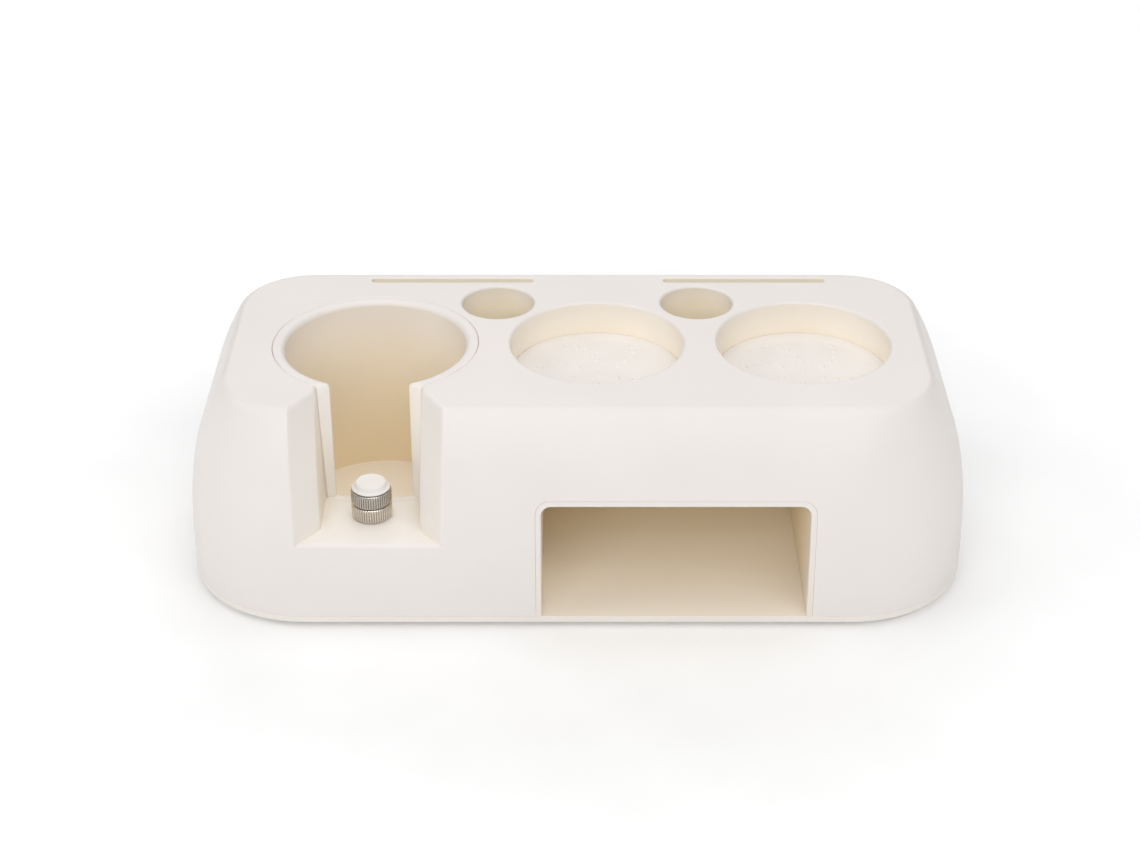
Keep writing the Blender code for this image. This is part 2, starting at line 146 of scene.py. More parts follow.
# Posts, screws and feet, their places in millimetres
POST_R = 4.2 * MM
SCREW_HOLE_R = 1.65 * MM
PILOT_DEPTH = 13.0 * MM
FOOT_RECESS_R = 8.3 * MM
FOOT_RECESS_DEPTH = 1.0 * MM
POSTS = [(-108, 33), (-112, -33), (108, 33), (112, -33), (7, 36), (-30, -42)]
FEET = [(-98, 45), (-98, -45), (98, 45), (98, -45)]

# Creams: the open surfaces' own colour, then painted bounce shade for deeply enclosed ones and the paler
# painted tones between
OPEN_CREAM = (0.87, 0.816, 0.775)
# Lighter copy of the cream, painting light onto the base plate
LIT_BASE_CREAM = (0.93, 0.875, 0.81)
BOUNCE_SHADE_CREAM = (0.985, 0.87, 0.65)
CUP_BOUNCE_SHADE_CREAM = (0.875, 0.72, 0.46)
BAY_BOUNCE_SHADE_CREAM = (0.985, 0.80, 0.49)
PALE_BOUNCE_CREAM = (0.99, 0.925, 0.84)
PALE_BAY_BOUNCE_CREAM = (0.985, 0.90, 0.77)

# How enclosed a surface is, from 0 for shut in to 1 for open, and where the painted bounce shade sets in
ENCLOSED_REACH = 0.09
DEEP_TONE_AT = 0.18
PALE_TONE_AT = 0.46
DEEP_STOPS = ((0.12, 1.0), (0.50, 0.85), (0.85, 0.0))
BAY_STOPS = ((0.08, 1.0), (0.25, 0.65), (0.6, 0.0))
BASE_STOPS = ((0.05, 1.0), (0.22, 0.6), (0.4, 0.0))

# Least share of the painted bounce shade, the warm colour, on faces that stand close to a neighbouring
# wall
SLOT_FACE_PAINTED_BOUNCE = (0.35, 0.6)      # at the inner edge, and what is added at the outer edge
BAY_FLOOR_PAINTED_BOUNCE = 0.8
CHANNEL_WALL_PAINTED_BOUNCE = 0.4

# Studio
FLOOR_SIZE = 8.0
FLOOR_Z = -0.0002
WORLD_STRENGTH = 0.08
LIGHT_TARGET = (0.0, 0.0, 0.04)
LIGHTS = (                          # name, place, size, power in watts
    ("overhead", (-0.05, 0.05, 1.1), (1.1, 0.8), 5.0),
    ("front", (-0.3, -1.25, 0.8), (1.0, 0.6), 5.6),
    ("front_right", (0.45, -0.8, 1.05), (0.9, 0.6), 4.4),
    ("left", (-1.2, -0.15, 0.75), (0.9, 0.7), 3.6),
    ("right", (1.2, -0.15, 0.75), (0.9, 0.7), 1.6),
    ("back", (0.0, 1.1, 0.9), (1.2, 0.6), 3.6))
CAMERA_LENS = 72.0
CAMERA_SENSOR = 36.0
CAMERA_SHIFT_X = -0.0068
CAMERA_DISTANCE = 0.7142
CAMERA_RISE = 0.371                 # above the top face
CAMERA_PITCH = 29.71                # degrees below level


# ---------------------------------------------------------------- mesh helpers

def object_from(name, bm):
    bmesh.ops.recalc_face_normals(bm, faces=bm.faces)
    mesh = bpy.data.meshes.new(name)
    bm.to_mesh(mesh)
    bm.free()
    obj = bpy.data.objects.new(name, mesh)
    bpy.context.scene.collection.objects.link(obj)
    return obj


def loft(name, rings):
    """Closed solid through rings that have the same number of points each."""
    bm = bmesh.new()
    loops = [[bm.verts.new(point) for point in ring] for ring in rings]
    count = len(loops[0])
    for lower, upper in zip(loops, loops[1:]):
        for i in range(count):
            j = (i + 1) % count
            bm.faces.new((lower[i], lower[j], upper[j], upper[i]))
    bm.faces.new(reversed(loops[0]))
    bm.faces.new(loops[-1])
    return object_from(name, bm)


def turned(name, profile, centre, segments):
    """Solid of revolution about a vertical axis, closed by flat caps."""
    rings = []
    for radius, z in profile:
        ring = []
        for i in range(segments):
            angle = 2.0 * math.pi * i / segments
            ring.append((centre[0] + radius * math.cos(angle),
                         centre[1] + radius * math.sin(angle), z))
        rings.append(ring)
    return loft(name, rings)


def box(name, low, high):
    ring = [(low[0], low[1]), (high[0], low[1]), (high[0], high[1]), (low[0], high[1])]
    return loft(name, [[(x, y, z) for x, y in ring] for z in (low[2], high[2])])


def combine(target, tool, operation):
    modifier = target.modifiers.new(operation.lower(), "BOOLEAN")
    modifier.operation = operation
    modifier.solver = "EXACT"
    modifier.object = tool
    depsgraph = bpy.context.evaluated_depsgraph_get()
    mesh = bpy.data.meshes.new_from_object(target.evaluated_get(depsgraph))
    target.modifiers.clear()
    target.data = mesh
    bpy.data.objects.remove(tool)


def cut(target, *tools):
    for tool in tools:
        combine(target, tool, "DIFFERENCE")


def smooth(obj, angle=34.0):
    """Smooth shading up to an angle, with large flat faces kept flat."""
    obj.data.shade_smooth()
    obj.data.set_sharp_from_angle(angle=math.radians(angle))
    weighted = obj.modifiers.new("face_weights", "WEIGHTED_NORMAL")
    weighted.keep_sharp = True
    weighted.weight = 100
    return obj


def fillet_steps(radius, steps=6, last=84.0):
    """(outward offset, drop below the face) along a rounded edge, from the wall to the face."""
    pairs = []
    for i in range(steps + 1):
        angle = math.radians(last * i / steps)
        pairs.append((radius * (1.0 - math.cos(angle)), radius * (1.0 - math.sin(angle))))
    return pairs


def mouth(radius, bottom, edge, top=TOP_Z):
    """Profile of a round cutter whose mouth runs out into the top face with a rounded edge."""
    profile = [(radius - 1.0 * MM, bottom), (radius, bottom + 1.0 * MM)]
    profile += [(radius + offset, top - drop) for offset, drop in fillet_steps(edge)]
    profile += [(radius + 1.02 * edge, top + 0.01 * edge), (radius + 1.02 * edge, top + OVER)]
    return profile


# ---------------------------------------------------------------- body outline

def flare_at(z):
    depth = min(max((TOP_Z - z) / BODY_HEIGHT, 0.0), 1.0)
    return FLARE * (1.0 - (1.0 - depth) ** FLARE_POWER)


def front_y(z):
    return -(TOP_HALF_Y + flare_at(z))


def body_ring(z, inset=0.0, corner_steps=20):
    swell = flare_at(z)
    half_x = TOP_HALF_X + swell - inset
    half_y = TOP_HALF_Y + swell - inset
    radius = TOP_CORNER_R + CORNER_GROWTH * swell - inset
    ring = []
    for quarter, (sx, sy) in enumerate(((1, 1), (-1, 1), (-1, -1), (1, -1))):
        for step in range(corner_steps + 1):
            angle = 0.5 * math.pi * (quarter + step / corner_steps)
            x = sx * (half_x - radius) + radius * math.cos(angle)
            y = sy * (half_y - radius) + radius * math.sin(angle)
            ring.append((x, y, z))
    return ring


def side_heights(bottom, top, steps):
    return [top - (top - bottom) * (1.0 - i / steps) ** 1.4 for i in range(steps + 1)]


def body_solid(name, bottom, steps=26, foot_edge=0.12 * MM):
    rings = []
    if foot_edge:
        rings.append(body_ring(bottom, foot_edge))
        bottom += foot_edge
    rings += [body_ring(z) for z in side_heights(bottom, TOP_Z - EDGE_FILLET, steps)]
    for step in range(1, 8):
        angle = 0.5 * math.pi * step / 7
        z = TOP_Z - EDGE_FILLET * (1.0 - math.sin(angle))
        rings.append(body_ring(z, EDGE_FILLET * (1.0 - math.cos(angle))))
    return loft(name, rings)


# ---------------------------------------------------------------- handle channel

def cup_radius(depth):
    return CUP_TOP_R - CUP_DRAFT * depth


def rounded_corner(before, corner, after, radius, steps):
    """Points of an arc that rounds the corner of a plan outline."""
    ux, uy = before[0] - corner[0], before[1] - corner[1]
    vx, vy = after[0] - corner[0], after[1] - corner[1]
    u, v = math.hypot(ux, uy), math.hypot(vx, vy)
    ux, uy, vx, vy = ux / u, uy / u, vx / v, vy / v
    half = 0.5 * math.acos(max(-1.0, min(1.0, ux * vx + uy * vy)))
    reach = radius / math.tan(half)
    bx, by = ux + vx, uy + vy
    length = math.hypot(bx, by)
    cx = corner[0] + bx / length * radius / math.sin(half)
    cy = corner[1] + by / length * radius / math.sin(half)
    start = math.atan2(corner[1] + uy * reach - cy, corner[0] + ux * reach - cx)
    end = math.atan2(corner[1] + vy * reach - cy, corner[0] + vx * reach - cx)
    turn = (end - start + math.pi) % (2.0 * math.pi) - math.pi
    return [(cx + radius * math.cos(start + turn * i / steps),
             cy + radius * math.sin(start + turn * i / steps)) for i in range(steps + 1)]


def channel_side(sign, z):
    """One side of the keyhole from the socket's bore out to the front face, as plan points with
    the radius that rounds the top edge there."""
    depth = max(TOP_Z - z, 0.0)
    part = min(depth / LEDGE_DEPTH, 1.0)
    bore = cup_radius(depth) + SEAM
    wall = CHANNEL_X + sign * (CHANNEL_TOP_HALF + (CHANNEL_LEDGE_HALF - CHANNEL_TOP_HALF) * part)
    run = SPLAY_RUN_TOP + (SPLAY_RUN_LEDGE - SPLAY_RUN_TOP) * part
    front = front_y(z)
    start_y = front + run
    edge_x = wall + sign * SPLAY_WIDTH

    # Convex corner where the bore meets the wall
    nose = CHANNEL_NOSE_R
    nose_x = wall + sign * nose
    nose_y = CUP_Y - math.sqrt((bore + nose) ** 2 - (nose_x - CUP_X) ** 2)
    away = math.atan2(CUP_Y - nose_y, CUP_X - nose_x)
    along = math.pi if sign > 0 else 0.0
    turn = (along - away + math.pi) % (2.0 * math.pi) - math.pi
    points = []
    for i in range(7):
        angle = away + turn * i / 6
        rounding = SOCKET_EDGE + (CHANNEL_EDGE - SOCKET_EDGE) * i / 6
        points.append((nose_x + nose * math.cos(angle), nose_y + nose * math.sin(angle), rounding))
    # Wall, splay and the run-out into the front face
    inner = rounded_corner((wall, nose_y), (wall, start_y), (edge_x, front), SPLAY_INNER_R, 5)
    points += [(x, y, CHANNEL_EDGE) for x, y in inner]
    beyond = (edge_x + sign * 6.0 * MM, front - 0.12 * MM)
    outer = rounded_corner((wall, start_y), (edge_x, front), beyond, SPLAY_OUTER_R, 6)
    points += [(x, y, CHANNEL_EDGE) for x, y in outer]
    points.append((edge_x + sign * 4.0 * MM, front - 0.6 * MM, CHANNEL_EDGE))
    points.append((edge_x + sign * 4.0 * MM, front - OVER, CHANNEL_EDGE))
    return points, away


def keyhole(z):
    """Plan of the socket and channel together, counter-clockwise from above."""
    depth = max(TOP_Z - z, 0.0)
    bore = cup_radius(depth) + SEAM
    right, right_away = channel_side(1.0, z)
    left, left_away = channel_side(-1.0, z)
    start = right_away + math.pi
    sweep = (left_away + math.pi - start) % (2.0 * math.pi)
    arc = []
    for i in range(1, 96):
        angle = start + sweep * i / 96
        arc.append((CUP_X + bore * math.cos(angle), CUP_Y + bore * math.sin(angle), SOCKET_EDGE))
    return right[::-1] + arc + left


def outward(outline, i):
    ax, ay, _ = outline[i - 1]
    bx, by, _ = outline[(i + 1) % len(outline)]
    length = math.hypot(bx - ax, by - ay)
    return (by - ay) / length, -(bx - ax) / length


def keyhole_solid():
    rings = []
    for depth in (LEDGE_DEPTH, 36.0 * MM, 28.0 * MM, 20.0 * MM, 14.0 * MM, 9.0 * MM, 5.0 * MM,
                  2.5 * MM):
        rings.append([(x, y, TOP_Z - depth) for x, y, _ in keyhole(TOP_Z - depth)])
    outline = keyhole(TOP_Z)
    normals = [outward(outline, i) for i in range(len(outline))]
    for offset, drop in fillet_steps(1.0) + [(1.02, -0.01), (1.02, -1.6)]:
        ring = []
        for (x, y, rounding), (nx, ny) in zip(outline, normals):
            z = TOP_Z - drop * rounding
            shift = front_y(z) - front_y(TOP_Z) if y < front_y(TOP_Z) + 14.0 * MM else 0.0
            ring.append((x + nx * offset * rounding, y + ny * offset * rounding + shift, z))
        rings.append(ring)
    return loft("keyhole", rings)


def wall_x(sign, y):
    """Where the channel's wall stands at the ledge's height, for a place on the way out."""
    points = channel_side(sign, TOP_Z - LEDGE_DEPTH)[0][7:]
    for (ax, ay, _), (bx, by, _) in zip(points, points[1:]):
        if ay >= y > by:
            return ax + (bx - ax) * (ay - y) / (ay - by)
    return points[-1][0] if y <= points[-1][1] else points[0][0]


def ledge_rounding():
    """Cutter that rounds the ledge's front edge from one splay to the other."""
    radius = 1.5 * MM
    ledge = TOP_Z - LEDGE_DEPTH
    face = front_y(ledge - radius)
    centre_y, centre_z = face + radius, ledge - radius
    outline = [(face - OVER, centre_z - 0.6 * MM), (face - 0.02 * MM, centre_z - 0.6 * MM)]
    for i in range(8):
        angle = math.radians(180.0 - 84.0 * i / 7)
        outline.append((centre_y + radius * math.cos(angle), centre_z + radius * math.sin(angle)))
    outline += [(centre_y + 0.3 * MM, ledge + 0.01 * MM), (centre_y + 0.3 * MM, ledge + 0.3 * MM),
                (face - OVER, ledge + 0.3 * MM)]
    inset = 0.03 * MM
    return loft("ledge_rounding", [[(wall_x(sign, y) - sign * inset, y, z) for y, z in outline]
                                   for sign in (-1.0, 1.0)])


# ---------------------------------------------------------------- other cutters

def slot_ring(x, extra, z):
    half_l, half_w, radius = SLOT_HALF_L + extra, SLOT_HALF_W + extra, 1.2 * MM + extra
    ring = []
    for quarter, (sx, sy) in enumerate(((1, 1), (-1, 1), (-1, -1), (1, -1))):
        for step in range(7):
            angle = 0.5 * math.pi * (quarter + step / 6)
            ring.append((x + sx * (half_l - radius) + radius * math.cos(angle),
                         SLOT_Y + sy * (half_w - radius) + radius * math.sin(angle), z))
    return ring


def slot_solid(x):
    edge = 0.6 * MM
    rings = [slot_ring(x, 0.0, TOP_Z - SLOT_DEPTH)]
    rings += [slot_ring(x, offset, TOP_Z - drop) for offset, drop in fillet_steps(edge, 5)]
    rings += [slot_ring(x, 1.02 * edge, TOP_Z + 0.01 * edge), slot_ring(x, 1.02 * edge, TOP_Z + OVER)]
    return loft("slot", rings)


def bay_outline(extra, bottom_z, ease=0.0):
    """(x, z) outline of the compartment, rounded at its upper corners."""
    left, right = LINER_LOW.x - extra, LINER_HIGH.x + extra
    top = LINER_HIGH.z + extra
    radius = BAY_CORNER_R + extra + ease
    outline = [(left, bottom_z), (right, bottom_z)]
    steps = 12
    for centre_x, start in ((right - radius, 0.0), (left + radius, 90.0)):
        for step in range(steps + 1):
            angle = math.radians(start + 90.0 * step / steps)
            outline.append((centre_x + radius * math.cos(angle),
                            top - radius + radius * math.sin(angle)))
    return outline


def side_rows(outline, rows=14):
    """The outline with its straight uprights divided, so that a ring can follow the front."""
    (left, low), (right, _) = outline[0], outline[1]
    high = outline[2][1]
    up = [(right, low + (high - low) * i / rows) for i in range(rows)]
    down = [(left, high - (high - low) * i / rows) for i in range(1, rows)]
    return [(left, low)] + up + outline[2:] + down


def bay_solid(name, extra, back_y, bottom_z, edge, ease=0.0):
    """Compartment-shaped cutter whose mouth rounds out into the curved front face."""
    rings = [[(x, back_y, z) for x, z in side_rows(bay_outline(extra, bottom_z, ease))],
             [(x, front_y(z) + 4.0 * MM, z) for x, z in side_rows(bay_outline(extra, bottom_z, ease))]]
    for offset, drop in fillet_steps(edge, 5) + [(1.02 * edge, -0.02 * edge)]:
        outline = side_rows(bay_outline(extra + offset, bottom_z, ease))
        rings.append([(x, front_y(z) + drop, z) for x, z in outline])
    outline = side_rows(bay_outline(extra + 1.02 * edge, bottom_z, ease))
    rings.append([(x, front_y(z) - OVER, z) for x, z in outline])
    return loft(name, rings)


def post(name, place, radius, bottom, top, segments=32):
    centre = (place[0] * MM, place[1] * MM)
    return turned(name, [(radius, bottom), (radius, top)], centre, segments)


# ---------------------------------------------------------------- main shell

def inside_solid():
    """Hollow of the shell, less the walls of everything that hangs from the top."""
    rings = [body_ring(z, WALL, 10) for z in side_heights(SHELL_BOTTOM_Z, TOP_Z - WALL, 10)]
    inside = loft("inside", [[(x, y, SKIRT_Z - OVER) for x, y, _ in rings[0]]] + rings)
    depth = SOCKET_WALL_DEPTH
    extra = SEAM + WALL
    cut(inside, turned("socket_wall", [(cup_radius(depth) + extra, TOP_Z - depth),
                                       (CUP_TOP_R + extra, TOP_Z)], (CUP_X, CUP_Y), 64))
    half = CHANNEL_TOP_HALF + SPLAY_WIDTH + WALL
    cut(inside, box("channel_wall", (CHANNEL_X - half, PAST_FRONT_Y, TOP_Z - LEDGE_DEPTH - WALL),
                    (CHANNEL_X + half, CUP_Y - CHANNEL_WALL_START, TOP_Z + OVER)))
    cut(inside, turned("rest_boss", [(BOSS_R, BUSH_LOW.z - 2.0 * MM),
                                     (BOSS_R, TOP_Z - LEDGE_DEPTH)], REST, 32))
    for x in RECESS_XS:
        low = TOP_Z - RECESS_DEPTH - PAD_THICK - PAD_BED - WALL
        cut(inside, turned("recess_cup", [(RECESS_R + WALL, low), (RECESS_R + WALL, TOP_Z)],
                           (x, RECESS_Y), 64))
    for x in WELL_XS:
        low = TOP_Z - WELL_DEPTH - WELL_WALL
        cut(inside, turned("well_tube", [(WELL_R + WELL_WALL, low), (WELL_R + WELL_WALL, TOP_Z)],
                           (x, WELL_Y), 40))
    for x in SLOT_XS:
        cut(inside, box("slot_pocket", (x - POCKET_HALF_L, SLOT_Y - POCKET_HALF_W, TOP_Z - POCKET_DEPTH),
                        (x + POCKET_HALF_L, SLOT_Y + POCKET_HALF_W, TOP_Z + OVER)))
    for place in POSTS:
        cut(inside, post("post", place, POST_R, 0.0, TOP_Z))
    return inside


def make_shell():
    shell = body_solid("shell", SKIRT_Z)
    cut(shell, inside_solid())
    cut(shell, keyhole_solid())
    cut(shell, ledge_rounding())
    depth = CUP_DEPTH + CUP_FLOOR_THICK + 0.35 * MM
    low_socket = [(cup_radius(depth) + SEAM - 0.02 * MM, TOP_Z - depth),
                  (cup_radius(LEDGE_DEPTH) + SEAM - 0.02 * MM, TOP_Z - LEDGE_DEPTH + 1.0 * MM)]
    cut(shell, turned("socket", low_socket, (CUP_X, CUP_Y), 120))
    for x in RECESS_XS:
        low = TOP_Z - RECESS_DEPTH - PAD_THICK - PAD_BED
        cut(shell, turned("recess", mouth(RECESS_R, low, MOUTH_FILLET), (x, RECESS_Y), 120))
    for x in WELL_XS:
        cut(shell, turned("well", mouth(WELL_R, TOP_Z - WELL_DEPTH, MOUTH_FILLET),
                          (x, WELL_Y), 72))
    for x in SLOT_XS:
        cut(shell, slot_solid(x))
    cut(shell, bay_solid("bay_mouth", FINE_SEAM, -50.0 * MM, -OVER, 0.15 * MM))
    cut(shell, turned("bush_hole", [(BUSH_HIGH.x - REST[0] + BUSH_CLEARANCE, BUSH_LOW.z - 0.3 * MM),
                                    (BUSH_HIGH.x - REST[0] + BUSH_CLEARANCE, TOP_Z - 40.0 * MM)],
                      REST, 40))
    cut(shell, turned("stud_hole", [(STUD_HOLE_R, 0.0), (STUD_HOLE_R, BUSH_HIGH.z)], REST, 32))
    for place in POSTS:
        cut(shell, post("pilot", place, SCREW_HOLE_R, -OVER, SHELL_BOTTOM_Z + PILOT_DEPTH, 20))
    return smooth(shell)


# ---------------------------------------------------------------- base plate and liner

def make_base():
    edge = 1.5 * MM
    rings = []
    for i in range(7):
        angle = 0.5 * math.pi * i / 6
        z = PLATE_BOTTOM_Z + edge * (1.0 - math.cos(angle))
        rings.append(body_ring(z, 0.35 * MM + edge * (1.0 - math.sin(angle))))
    rings += [body_ring(PLATE_TOP_Z - 0.12 * MM, 0.06 * MM), body_ring(PLATE_TOP_Z, 0.18 * MM)]
    plate = loft("base", rings)
    low, high = PLATE_TOP_Z - 1.0 * MM, PLATE_TOP_Z + 2.5 * MM
    rim = loft("rim", [body_ring(z, WALL + 0.5 * MM) for z in (low, high)])
    cut(rim, loft("rim_inside", [body_ring(z, WALL + 2.0 * MM) for z in (low - OVER, high + OVER)]))
    cut(rim, box("rim_gap", (LINER_LOW.x - 2.0 * MM, PAST_FRONT_Y, -OVER),
                 (LINER_HIGH.x + 2.0 * MM, 0.0, 20.0 * MM)))
    combine(plate, rim, "UNION")
    for place in POSTS:
        cut(plate, post("screw_hole", place, SCREW_HOLE_R, -OVER, PLATE_TOP_Z + OVER, 24))
        profile = [(3.7 * MM, -OVER), (3.7 * MM, PLATE_BOTTOM_Z - 0.01 * MM),
                   (3.3 * MM, PLATE_BOTTOM_Z + 0.4 * MM), (3.3 * MM, PLATE_BOTTOM_Z + 1.9 * MM)]
        cut(plate, turned("counterbore", profile, (place[0] * MM, place[1] * MM), 40))
    for place in FEET:
        cut(plate, post("foot_recess", place, FOOT_RECESS_R, -OVER,
                        PLATE_BOTTOM_Z + FOOT_RECESS_DEPTH, 64))
    return smooth(plate)


def make_liner():
    liner = bay_solid("liner", 0.0, LINER_HIGH.y, SKIRT_Z, 0.01 * MM)
    combine(liner, body_solid("front_trim", -OVER, 40, 0.0), "INTERSECT")
    cut(liner, bay_solid("liner_room", -LINER_WALL, LINER_HIGH.y - LINER_WALL, -OVER, 0.5 * MM,
                         0.7 * MM))
    return smooth(liner)


# ---------------------------------------------------------------- cup

def slot_outline(extra, z):
    """Plan of the cup's front slot: splayed side faces with rounded inner and outer edges."""
    depth = TOP_Z - z
    inner_r = CUP_INNER_TOP_R - (CUP_INNER_TOP_R - CUP_INNER_FLOOR_R) * depth / CUP_DEPTH
    outer_r = cup_radius(depth)
    half_in = CUP_SLOT_HALF + extra - 0.15 * MM * depth / LEDGE_DEPTH
    in_y = -math.sqrt(inner_r ** 2 - half_in ** 2)
    half_out = half_in + CUP_SLOT_SPREAD * (outer_r - inner_r) * 0.85
    out_y = -math.sqrt(outer_r ** 2 - half_out ** 2)
    slope_in = math.atan2(half_in, -in_y)
    slope_out = math.atan2(half_out, -out_y)
    reach = 5.0 * MM
    inside = (half_in + reach * math.cos(slope_in), in_y + reach * math.sin(slope_in) + 0.12 * MM)
    outside = (half_out + reach * math.cos(slope_out),
               out_y + reach * math.sin(slope_out) - 0.12 * MM)
    right = [(half_in + reach * 0.9, in_y + 6.0 * MM), inside]
    right += rounded_corner(inside, (half_in, in_y), (half_out, out_y), 0.7 * MM, 5)
    right += rounded_corner((half_in, in_y), (half_out, out_y), outside, 0.7 * MM, 5)
    right += [outside, (half_out + reach, out_y - 6.0 * MM)]
    points = right + [(-x, y) for x, y in reversed(right)]
    return [(CUP_X + x, CUP_Y + y, z) for x, y in points]


def make_cup():
    floor_z = TOP_Z - CUP_DEPTH
    bottom = floor_z - CUP_FLOOR_THICK
    outer = [(cup_radius(TOP_Z - bottom) - 1.0 * MM, bottom),
             (cup_radius(TOP_Z - bottom) - 0.3 * MM, bottom + 0.3 * MM),
             (cup_radius(TOP_Z - bottom), bottom + 1.0 * MM)]
    rim = 0.5 * MM
    for i in range(5):
        angle = 0.5 * math.pi * i / 4
        outer.append((CUP_TOP_R - rim * (1.0 - math.cos(angle)), TOP_Z - rim * (1.0 - math.sin(angle))))
    cup = turned("cup", outer, (CUP_X, CUP_Y), 144)
    corner = 0.6 * MM
    inner = []
    for i in range(6):
        angle = 0.5 * math.pi * i / 5
        inner.append((CUP_INNER_FLOOR_R - corner * (1.0 - math.sin(angle)),
                      floor_z + corner * (1.0 - math.cos(angle))))
    inner += [(CUP_INNER_TOP_R + offset, TOP_Z - drop)
              for offset, drop in fillet_steps(CUP_RIM_FILLET, 8)]
    inner += [(CUP_INNER_TOP_R + 1.02 * CUP_RIM_FILLET, TOP_Z + 0.01 * CUP_RIM_FILLET),
              (CUP_INNER_TOP_R + 1.02 * CUP_RIM_FILLET, TOP_Z + OVER)]
    cut(cup, turned("cup_bore", inner, (CUP_X, CUP_Y), 144))
    edge = CUP_SLOT_EDGE
    rings = [slot_outline(0.0, TOP_Z - LEDGE_DEPTH), slot_outline(0.0, TOP_Z - 0.5 * LEDGE_DEPTH)]
    rings += [slot_outline(offset, TOP_Z - drop) for offset, drop in fillet_steps(edge, 7)]
    rings += [slot_outline(1.02 * edge, z) for z in (TOP_Z + 0.01 * edge, TOP_Z + OVER)]
    cut(cup, loft("cup_slot", rings))
    return smooth(cup)


# ---------------------------------------------------------------- mats

def dot_places(arms=6, dots=5):
    places = [(0.0, 0.0, 0.55)]
    for arm in range(arms):
        for dot in range(dots):
            radius = (8.4 + 4.75 * dot - 0.25 * dot * dot) * MM
            angle = math.radians(28.0 + 360.0 * arm / arms + 7.5 * dot)
            places.append((radius * math.cos(angle), radius * math.sin(angle), 1.0))
    return places


def make_mat(name, x):
    top = TOP_Z - RECESS_DEPTH
    radius = RECESS_R - 0.08 * MM
    edge = 0.22 * MM
    profile = [(radius, top - PAD_THICK)]
    for i in range(5):
        angle = 0.5 * math.pi * i / 4
        profile.append((radius - edge * (1.0 - math.cos(angle)), top - edge * (1.0 - math.sin(angle))))
    mat = turned(name, profile, (x, RECESS_Y), 120)
    bm = bmesh.new()
    for dx, dy, size in dot_places():
        base = 1.2 * MM * size
        height = 0.5 * MM * size
        rings = [(base, -0.2 * MM), (base, 0.0), (0.9 * base, 0.3 * height),
                 (0.7 * base, 0.66 * height), (0.42 * base, 0.9 * height),
                 (0.15 * base, height)]
        loops = []
        for r, z in rings:
            loops.append([bm.verts.new((x + dx + r * math.cos(math.pi * i / 8),
                                        RECESS_Y + dy + r * math.sin(math.pi * i / 8), top + z))
                          for i in range(16)])
        for lower, upper in zip(loops, loops[1:]):
            for i in range(16):
                bm.faces.new((lower[i], lower[(i + 1) % 16], upper[(i + 1) % 16], upper[i]))
        bm.faces.new(reversed(loops[0]))
        bm.faces.new(loops[-1])
    combine(mat, object_from("dots", bm), "UNION")
    return smooth(mat, 50.0)


# ---------------------------------------------------------------- handle rest

def ridged_ring(radius, z, depth):
    """One turn of straight knurling: rounded ridges with narrow grooves."""
    steps = 6
    ring = []
    for i in range(RIDGES * steps):
        phase = (i % steps) / steps
        groove = (0.5 + 0.5 * math.cos(2.0 * math.pi * phase)) ** 1.3
        r = radius - depth * groove
        angle = 2.0 * math.pi * i / (RIDGES * steps)
        ring.append((REST[0] + r * math.cos(angle), REST[1] + r * math.sin(angle), z))
    return ring


def make_knurled(name, low, high, bore):
    """Straight-knurled steel disc with turned, chamfered ends."""
    radius = 0.5 * (NUT_HIGH.y - NUT_LOW.y)
    ease = 0.45 * MM
    rings = [ridged_ring(radius - 0.75 * MM, low, 0.0),
             ridged_ring(radius - ease, low + 0.03 * MM, 0.0),
             ridged_ring(radius - 0.2 * MM, low + 0.3 * MM, 0.3 * RIDGE_DEPTH),
             ridged_ring(radius, low + ease + 0.1 * MM, RIDGE_DEPTH),
             ridged_ring(radius, high - ease - 0.1 * MM, RIDGE_DEPTH),
             ridged_ring(radius - 0.2 * MM, high - 0.3 * MM, 0.3 * RIDGE_DEPTH),
             ridged_ring(radius - ease, high - 0.03 * MM, 0.0),
             ridged_ring(radius - 0.75 * MM, high, 0.0)]
    disc = loft(name, rings)
    if bore:
        profile = [(bore + 0.6 * MM, low - OVER), (bore + 0.6 * MM, low - 0.01 * MM),
                   (bore, low + 0.55 * MM), (bore, high - 0.55 * MM),
                   (bore + 0.6 * MM, high + 0.01 * MM), (bore + 0.6 * MM, high + OVER)]
        cut(disc, turned("bore", profile, REST, 48))
    # How deep each point lies in a groove, for the painted shade in the steel's material
    groove = disc.data.attributes.new("groove", "FLOAT", "POINT")
    for vertex in disc.data.vertices:
        out = math.hypot(vertex.co.x - REST[0], vertex.co.y - REST[1])
        on_side = low + ease < vertex.co.z < high - ease and out > radius - 1.2 * RIDGE_DEPTH
        groove.data[vertex.index].value = (radius - out) / RIDGE_DEPTH if on_side else 0.0
    return smooth(disc, 40.0)


def threaded_rod(name, radius, depth, pitch, low, high, centre, around=28, rows=10):
    """Rod with one helical thread, its ends eased."""
    count = int(round((high - low) / pitch * rows))
    rings = []
    for k in range(count + 1):
        z = low + (high - low) * k / count
        ease = min(1.0, (z - low) / (0.9 * pitch), (high - z) / (0.4 * pitch) + 0.3)
        ring = []
        for i in range(around):
            phase = (z / pitch - i / around) % 1.0
            ridge = max(0.0, min(1.0, 2.4 * (0.5 - abs(phase - 0.5))))
            r = radius - depth + depth * ridge * ease - 0.35 * depth * (1.0 - ease)
            angle = 2.0 * math.pi * i / around
            ring.append((centre[0] + r * math.cos(angle), centre[1] + r * math.sin(angle), z))
        rings.append(ring)
    return smooth(loft(name, rings), 50.0)


